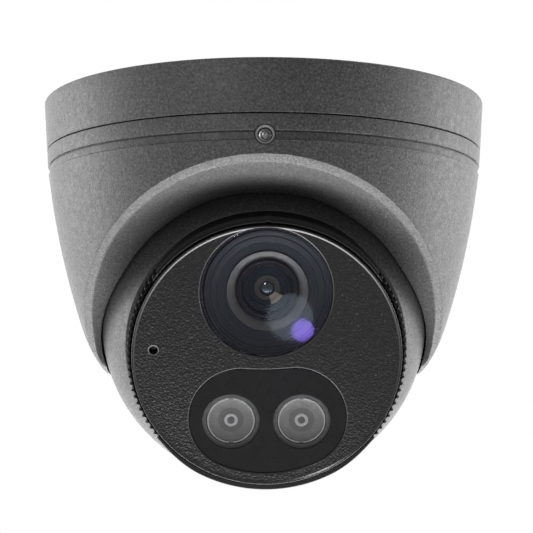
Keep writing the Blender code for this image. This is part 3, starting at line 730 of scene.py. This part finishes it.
def build_cover():
    """Front cover: flat grained face inside a smooth raised bead, with the window seats cut in."""
    top = CLEAR_OF_FACE
    profile = ((0, FACE), (RIM_RADIUS - RIM_BEAD, FACE), (RIM_RADIUS - 0.35, FACE + 0.28, 0.15),
               (RIM_RADIUS - 0.05, FACE + 0.3, 0.12), (RIM_RADIUS, FACE - 0.1, 0.1), (RIM_RADIUS, 32.6),
               (33.9, 31.9), (33.9, 26.3), (33.7, 26.0), (33.7, 25.9), (32.7, 25.9), (32.7, 24.5),
               (33.7, 24.5), (33.7, 22.0), (31.9, 22.0), (31.9, FACE_BACK), (0, FACE_BACK))
    seat = LENS_WINDOW + 0.2
    lens_seat = moved(turned(((0, top), (seat + 0.22, top), (seat + 0.22, FACE), (seat, FACE - 0.2),
                              (seat, WINDOW_SEAT), (0, WINDOW_SEAT))), 0, LENS_WINDOW_HEIGHT)
    lens_port = moved(bore(16.2, top, 30), 0, LENS_WINDOW_HEIGHT)
    lamp_seat = stack(((bean_outline(0), WINDOW_SEAT), (bean_outline(0), FACE - 0.22),
                       (bean_outline(-0.25), FACE), (bean_outline(-0.25), top)))
    lamp_port = stack(((bean_outline(1.2), 29.0), (bean_outline(1.2), top)))
    sound = moved(turned(((0, top), (SOUND_HOLE, top), (SOUND_HOLE, FACE), (1.15, FACE - 0.25), (1.0, 28),
                          (0, 28)), 48), *MICROPHONE)
    tools = [("DIFFERENCE", tool) for tool in (lens_seat, lens_port, lamp_seat, lamp_port, sound)]
    cover = piece("face_cover", turned(profile), leather_black("black_leather_grain"), "ball",
                  ["front_cover"], COVER, tools)
    # Glossier bead and window edges; their lighter colour is a painted highlight, the bright line along the
    # rim.
    trim(cover, moulded("glossy_edge_painted_highlight", (0.04, 0.04, 0.04), 0.25, 0.7),
         lambda centre, normal: centre.z > FACE - 0.3 and normal.z < FLAT)
    sound_at = Vector(MICROPHONE)
    # Light grey chamfer round the sound hole: a painted highlight, the bright ring round the hole.
    trim(cover, moulded("sound_hole_painted_highlight", (0.25, 0.25, 0.245), 0.4),
         lambda centre, normal: (centre.xy - sound_at).length < SOUND_HOLE + 0.2 and 0.3 < normal.z < FLAT)


def grip_radius(angle):
    """Outer radius of the grip ring: rounded ribs at the two sides, plain and larger above and below."""
    from_side = min(angle % 180, 180 - angle % 180)
    if from_side > GRIP_HALF_ZONE:
        part = min(1.0, (from_side - GRIP_HALF_ZONE) / GRIP_RISE)
        return GRIP_RADIUS + (GRIP_PLAIN - GRIP_RADIUS) * part * part * (3 - 2 * part)
    wave = math.cos(math.tau * (from_side % GRIP_PITCH) / GRIP_PITCH)
    return GRIP_RADIUS - GRIP_DEPTH * (1 - math.tanh(2.2 * wave) / math.tanh(2.2)) / 2


def build_grip():
    """Grip ring behind the face, with a fine chamfer along its front edge and a small nib at its top.

    Each level is (fixed radius, height, chamfer); without a fixed radius it follows the ribs.
    """
    steps = RIB_POINTS * round(360 / GRIP_PITCH)
    levels = ((34.2, 26.3, 0.0), (None, 26.3, 0.25), (None, 26.55, 0.0), (None, GRIP_FRONT - 0.22, 0.0),
              (None, GRIP_FRONT, 0.22), (35.32, GRIP_FRONT, 0.0), (35.0, GRIP_FRONT - 0.25, 0.0),
              (34.95, 32.45, 0.0), (34.2, 31.7, 0.0))
    rings = []
    for inner, z, chamfer in levels:
        ring = []
        for k in range(steps):
            angle = 360 * (k + 0.5) / steps
            radius = inner if inner else max(grip_radius(angle) - chamfer, 35.05)
            if z > GRIP_FRONT - 0.5:
                radius += GRIP_NIB * math.exp(-((angle - 90) / GRIP_NIB_SPAN) ** 2)
            turn = math.radians(angle)
            ring.append((radius * math.cos(turn), radius * math.sin(turn), z))
        rings.append(ring)
    ring_look = moulded("ring_moulding", (0.008, 0.008, 0.008), 0.42, 0.3)
    ring = piece("ribbed_ring", loft(rings), ring_look, "ball", ["grip_ring"])
    # Painted highlight: light grey on the ring's front chamfer, only along its top.
    trim(ring, moulded("ring_edge_painted_highlight", (0.26, 0.26, 0.255), 0.4, 0.8),
         lambda centre, normal: (centre.z > GRIP_FRONT - 0.3 and centre.y > 20
                                 and centre.xy.length < 35.5 and normal.z < 0.95))


def build_windows():
    """Clear lens window, and the lamp window as a printed border with two clear discs."""
    lens = moved(turned(((0, WINDOW_FRONT), (LENS_WINDOW - 0.4, WINDOW_FRONT),
                         (LENS_WINDOW, WINDOW_FRONT, 0.12), (LENS_WINDOW, WINDOW_BACK),
                         (0, WINDOW_BACK))), 0, LENS_WINDOW_HEIGHT)
    piece("lens_pane", lens, LOOKS["clear"], "ball", ["lens_window"], COVER)
    border = stack(((bean_outline(0.12), WINDOW_BACK), (bean_outline(0.12), WINDOW_FRONT - 0.1),
                    (bean_outline(0.25), WINDOW_FRONT)))
    holes = []
    for x, name in LAMPS:
        view = moved(bore(LAMP_VIEW, CLEAR_OF_FACE, 30, FINE), x, LED_HEIGHT)
        holes.append(("DIFFERENCE", view, BALL))
        clear = bore(LAMP_VIEW - PRINT_GAP, WINDOW_FRONT - PRINT_STEP, WINDOW_BACK, FINE)
        piece(f"lamp_pane_{name}", moved(clear, x, LED_HEIGHT), LOOKS["smoked"], "ball",
              ["lamp_window"])
    ink = moulded("window_print", (0.0125, 0.0125, 0.0125), 0.3, 0.26, 0.4, 0.002)
    piece("lamp_border", border, ink, "ball", ["lamp_window"], COVER, holes)


# ---------------------------------------------------------------- lens

def dome(radius, top, edge):
    """Profile of a dome from its crown on the axis to its edge radius."""
    base = top - radius
    arc = sphere_arc(radius, radius, math.sqrt(radius ** 2 - edge ** 2), 16)
    return [(0, top)] + [(x, base + z) for x, z in arc[1:]]


def build_lens():
    """Turned pieces on the lens axis, from the stepped baffle in to the glass behind the stop."""
    def lens_piece(name, profile, look, node):
        return piece(name, moved(turned(profile, FINE * 2), 0, LENS_HEIGHT), look, "ball", [node])

    satin = moulded("baffle_moulding", (0.0105, 0.0155, 0.02), 0.38, 0.4)
    profile = [(16.1, 32.8), (16.1, 31.2), (12.6, 30.2), (10.6, 30.2), (10.6, 31.15)]
    for k in range(BAFFLE_STEPS):
        radius = 10.95 + 0.47 * k
        depth = 31.15 + 0.14 * k
        profile += [(radius, depth + 0.02), (radius + 0.06, depth + 0.16, 0.05)]
    profile += [(13.0, 31.85), (13.05, 31.95, 0.05), (14.5, 32.2), (14.55, 32.05), (14.75, 32.05),
                (14.8, 32.3), (15.45, 32.45), (15.5, 32.75, 0.05)]
    lens_piece("stepped_baffle", profile, satin, "lens_baffle")
    bezel = ((10.45, 31.6, 0.08), (10.45, 30.0), (8.2, 30.0), (8.2, 30.35, 0.05))
    bezel_look = moulded("bezel_grey", (0.084, 0.081, 0.077), 0.45)
    lens_piece("grey_bezel", bezel, bezel_look, "lens_bezel")
    barrel = ((8.0, 31.2, 0.12), (8.0, 22.0), (7.0, 21.5), (7.0, 5.0), (5.6, 5.0), (5.6, 8.0), (4.5, 8.0),
              (4.5, 28.2), (6.5, 28.2), (6.5, 30.7, 0.05), (6.75, 30.95, 0.06), (6.95, 30.95, 0.06),
              (7.05, 30.7), (7.4, 30.7), (7.5, 31.1, 0.06), (7.65, 31.15, 0.06), (7.75, 31.0), (7.85, 31.0))
    barrel_look = moulded("barrel_black", (0.003, 0.0035, 0.004), 0.25, 0.4)
    lens_piece("lens_tube", barrel, barrel_look, "lens_barrel")
    front = dome(17.0, 31.0, 6.2) + [(6.2, 29.7), (0, 29.7)]
    front_look = pane("front_glass_coat", (0.9, 0.96, 1.0), (0.75, 0.95, 1.0), 1.12)
    lens_piece("front_glass", front, front_look, "lens_front_element")
    stop = ((6.2, 29.4), (6.2, 28.5), (2.0, 28.5), (2.0, 28.62), (2.15, 28.72, 0.04), (2.5, 28.65),
            (3.3, 28.75), (3.35, 28.85), (4.3, 28.9), (4.35, 29.05), (5.4, 29.15), (5.45, 29.35))
    stop_look = moulded("stop_black", (0.003, 0.004, 0.0045), 0.3, 0.3)
    iris = lens_piece("iris_stop", stop, stop_look, "lens_stop")

    def on_stop(centre, radius):
        return centre.z > 28.6 and math.hypot(centre.x, centre.y - LENS_HEIGHT) < radius

    def lower_right(centre):
        return -75 < math.degrees(math.atan2(centre.y - LENS_HEIGHT, centre.x)) < -25

    # Painted reflections on the stop: a brown ring round the middle glass, and a light warm patch at its
    # lower right.
    trim(iris, moulded("stop_painted_reflection", (0.075, 0.045, 0.022), 0.35),
         lambda centre, normal: on_stop(centre, 3.3))
    trim(iris, moulded("stop_painted_warm_reflection", (0.5, 0.33, 0.19), 0.4),
         lambda centre, normal: on_stop(centre, 4.3) and lower_right(centre))
    middle = dome(2.6, 28.9, 1.85) + [(1.85, 28.0), (4.2, 27.9), (4.2, 24.0), (0, 24.0)]
    core = moulded("inner_glass", (0.06, 0.05, 0.04), 0.06, 1.0, 1.2, 0.001)
    lens_piece("middle_glass", middle, core, "lens_middle_element")


# ---------------------------------------------------------------- lamps

def optic_acrylic(name):
    """Moulded lamp optic: greyish clear plastic with soft flow lines."""
    look = Look(name, (0.36, 0.36, 0.34), 0.35, 0.0, 0.6)
    look.tint(look.ranged(look.noise(2.5, 3.0), 0.35, 0.65, 0.0, 0.35), (0.5, 0.5, 0.48))
    look.tint(look.ranged(look.noise(0.9, 2.0, (1.0, 3.0, 1.0)), 0.5, 0.7, 0.0, 0.3), (0.62, 0.62, 0.6))
    look.rough(look.noise(1.4, 2.0), 0.3, 0.4)
    look.bump(look.noise(0.8, 2.0), 0.012)
    return look.material


def build_lamps():
    """Screen behind the lamp window, and a grey holder with an optic for each lamp."""
    cuts = [("DIFFERENCE", moved(bore(7.7, 34, 30, FINE), x, LED_HEIGHT), BALL) for x, _ in LAMPS]
    mask = stack(((bean_outline(1.6), 32.1), (bean_outline(1.6), 32.9)))
    screen = moulded("screen_black", (0.019, 0.019, 0.019), 0.35, 0.3)
    piece("lamp_screen", mask, screen, "ball", ["lamp_mask"], COVER, cuts)

    holder = ((7.48, 33.08, 0.05), (7.48, 24.5), (6.6, 24.5), (6.6, 31.2), (6.4, 33.0, 0.05), (6.45, 33.05))
    core, bead, inner = 0.95, 1.8, 3.3    # radii on the optic's front
    optic = ((0, 32.2), (core, 32.2), (1.05, 32.35, 0.04), (1.7, 32.35, 0.04), (bead, 32.2), (inner, 32.2),
             (5.3, 32.4), (5.7, 32.55), (5.8, 32.85, 0.06), (6.2, 32.85, 0.08), (6.2, 31.0), (3.0, 25.5),
             (1.7, 25.5), (1.7, 28.0), (0, 28.4))
    holder_look = moulded("holder_grey", (0.22, 0.22, 0.215), 0.5)
    optic_look = optic_acrylic("optic_acrylic")
    # Painted light on the optic: a bright rim and ring as highlights, a darker centre and middle band as
    # shade.
    bright = moulded("optic_painted_highlight", (0.85, 0.85, 0.83), 0.3, 0.6)
    dim = moulded("optic_core_painted_shade", (0.22, 0.22, 0.21), 0.35)
    middle = moulded("optic_middle_painted_shade", (0.27, 0.27, 0.25), 0.35)
    for x, name in LAMPS:
        piece(f"lamp_ring_{name}", moved(turned(holder, FINE), x, LED_HEIGHT), holder_look, "ball",
              [f"lamp_holder_{name}"])
        notches = []
        for y in (-6.1, 6.1):
            outline = ((-0.6, y - 0.5), (0.6, y - 0.5), (0.6, y + 0.5), (-0.6, y + 0.5))
            notch = moved(stack(((outline, 32.6), (outline, 33.4))), x, LED_HEIGHT)
            notches.append(("DIFFERENCE", notch))
        lens = piece(f"lamp_lens_{name}", moved(turned(optic, FINE), x, LED_HEIGHT), optic_look, "ball",
                     [f"lamp_optic_{name}"], BALL, notches)

        def between(centre, low, high):
            return centre.z > 32.0 and low <= math.hypot(centre.x - x, centre.y - LED_HEIGHT) < high

        # Painted highlight on the front rim and ring; painted shade in the centre and in the band round the
        # ring.
        trim(lens, bright, lambda centre, normal: centre.z > 32.7 or between(centre, core, bead))
        trim(lens, dim, lambda centre, normal: between(centre, 0.0, core))
        trim(lens, middle, lambda centre, normal: between(centre, bead, inner + 0.1))


def dress_frame():
    """Every CAD node that still shows gets the look of its slot."""
    slots = {part["node"]: part["material_slot"] for part in frame["record"]["subparts"]}
    for name, node in frame["nodes"].items():
        if node.hide_render:
            continue
        node.data.materials.clear()
        node.data.materials.append(LOOKS[slots[name]])


# ---------------------------------------------------------------- studio

FLOOR_Z = -0.32
FLOOR_SIZE = 1.6
CAMERA_AT = (0, -0.420, -0.09035)
CAMERA_PITCH = math.radians(6.245)
CAMERA_LENS = 102.57
CAMERA_SHIFT = 0.00537
FRONT_TO_BACK = (-0.62, 0.6, 0.24, 2.15)      # surround: from Y, to Y, strength in front, strength behind
BELOW = (-1.0, -0.6, 5.4, 1.0)                # surround: from Z, to Z, factor below, factor elsewhere
LIGHT_REACH = 0.3                             # distance of the mirrored lights from the window


def build_floor():
    """Pale seamless floor well below the hanging camera."""
    shape = bmesh.new()
    bmesh.ops.create_grid(shape, x_segments=1, y_segments=1, size=FLOOR_SIZE)
    floor = to_object("studio_floor", shape, Matrix.Translation((0, 0, FLOOR_Z)))
    pale = Look("studio_pale", (0.86, 0.86, 0.86), 0.8)
    pale.tint(pale.ranged(pale.noise(180.0), 0.35, 0.65, 0.0, 1.0), (0.84, 0.84, 0.84))
    floor.data.materials.append(pale.material)
    floor.visible_diffuse = False     # the surround alone lights the camera
    floor.visible_glossy = False
    floor.visible_shadow = False


def build_world():
    """White surround: bright at the sides and behind, dim in front, plain white where the camera sees it."""
    world = bpy.data.worlds.new("studio_surround")
    bpy.context.scene.world = world
    world.use_nodes = True
    nodes, links = world.node_tree.nodes, world.node_tree.links
    nodes.clear()
    place = nodes.new("ShaderNodeTexCoord")
    split = nodes.new("ShaderNodeSeparateXYZ")
    links.new(place.outputs["Generated"], split.inputs["Vector"])

    def ramp(value, stops):
        node = nodes.new("ShaderNodeMapRange")
        node.interpolation_type = "SMOOTHSTEP"
        links.new(value, node.inputs["Value"])
        for socket, number in zip(("From Min", "From Max", "To Min", "To Max"), stops):
            node.inputs[socket].default_value = number
        return node.outputs["Result"]

    front = ramp(split.outputs["Y"], FRONT_TO_BACK)
    low = ramp(split.outputs["Z"], BELOW)
    level = nodes.new("ShaderNodeMath")
    level.operation = "MULTIPLY"
    links.new(front, level.inputs[0])
    links.new(low, level.inputs[1])
    studio = nodes.new("ShaderNodeBackground")
    studio.inputs["Color"].default_value = (1.0, 1.0, 1.0, 1.0)
    links.new(level.outputs["Value"], studio.inputs["Strength"])
    white = nodes.new("ShaderNodeBackground")
    white.inputs["Color"].default_value = (1.0, 1.0, 1.0, 1.0)
    seen = nodes.new("ShaderNodeLightPath")
    mix = nodes.new("ShaderNodeMixShader")
    links.new(seen.outputs["Is Camera Ray"], mix.inputs["Fac"])
    links.new(studio.outputs["Background"], mix.inputs[1])
    links.new(white.outputs["Background"], mix.inputs[2])
    output = nodes.new("ShaderNodeOutputWorld")
    links.new(mix.outputs["Shader"], output.inputs["Surface"])


def area_light(name, at, towards, size, power, colour=(1.0, 1.0, 1.0)):
    data = bpy.data.lights.new(name, "AREA")
    data.shape = "DISK"
    data.size = size
    data.energy = power
    data.color = colour
    lamp = bpy.data.objects.new(name, data)
    bpy.context.scene.collection.objects.link(lamp)
    lamp.location = at
    lamp.rotation_euler = (Vector(towards) - Vector(at)).to_track_quat("-Z", "Y").to_euler()
    return lamp


def mirrored_light(name, spot, radius, power, colour):
    """Small round light that the lens window mirrors to the view at a spot on its front, in millimetres."""
    at = COVER @ (Vector((*spot, WINDOW_FRONT)) * MM)
    facing = (COVER.to_3x3() @ Vector((0, 0, 1))).normalized()
    towards = (at - Vector(CAMERA_AT)).normalized().reflect(facing)
    lamp = area_light(name, at + towards * LIGHT_REACH, at, 2 * radius, power, colour)
    lamp.visible_camera = False
    lamp.visible_diffuse = False


def build_studio():
    build_floor()
    build_world()
    for x, name in ((-0.8, "softbox_left"), (0.8, "softbox_right")):
        area_light(name, (x, 0.15, 0.0), (0, 0, -0.06), 0.5, 3.0)
    mirrored_light("coat_glint_violet", (9.1, 7.1), 0.0050, 0.0034, (0.36, 0.24, 1.0))
    mirrored_light("coat_glint_teal", (5.95, 10.65), 0.0104, 0.0019, (0.75, 1.0, 0.92))
    glint = area_light("glint_lamp", (-0.22, -0.55, 0.12), (0, -0.04, -0.06), 0.12, 0.7)
    glint.visible_diffuse = False
    bpy.context.scene.view_settings.view_transform = "Standard"

    lens = bpy.data.cameras.new("view")
    lens.lens = CAMERA_LENS
    lens.shift_x = CAMERA_SHIFT
    camera = bpy.data.objects.new("view", lens)
    bpy.context.scene.collection.objects.link(camera)
    camera.location = CAMERA_AT
    camera.rotation_euler = (math.radians(90) + CAMERA_PITCH, 0, 0)
    bpy.context.scene.camera = camera


build_base()
build_cup()
build_lock_screw()
build_shells()
build_cover()
build_grip()
build_windows()
build_lens()
build_lamps()
dress_frame()
build_studio()
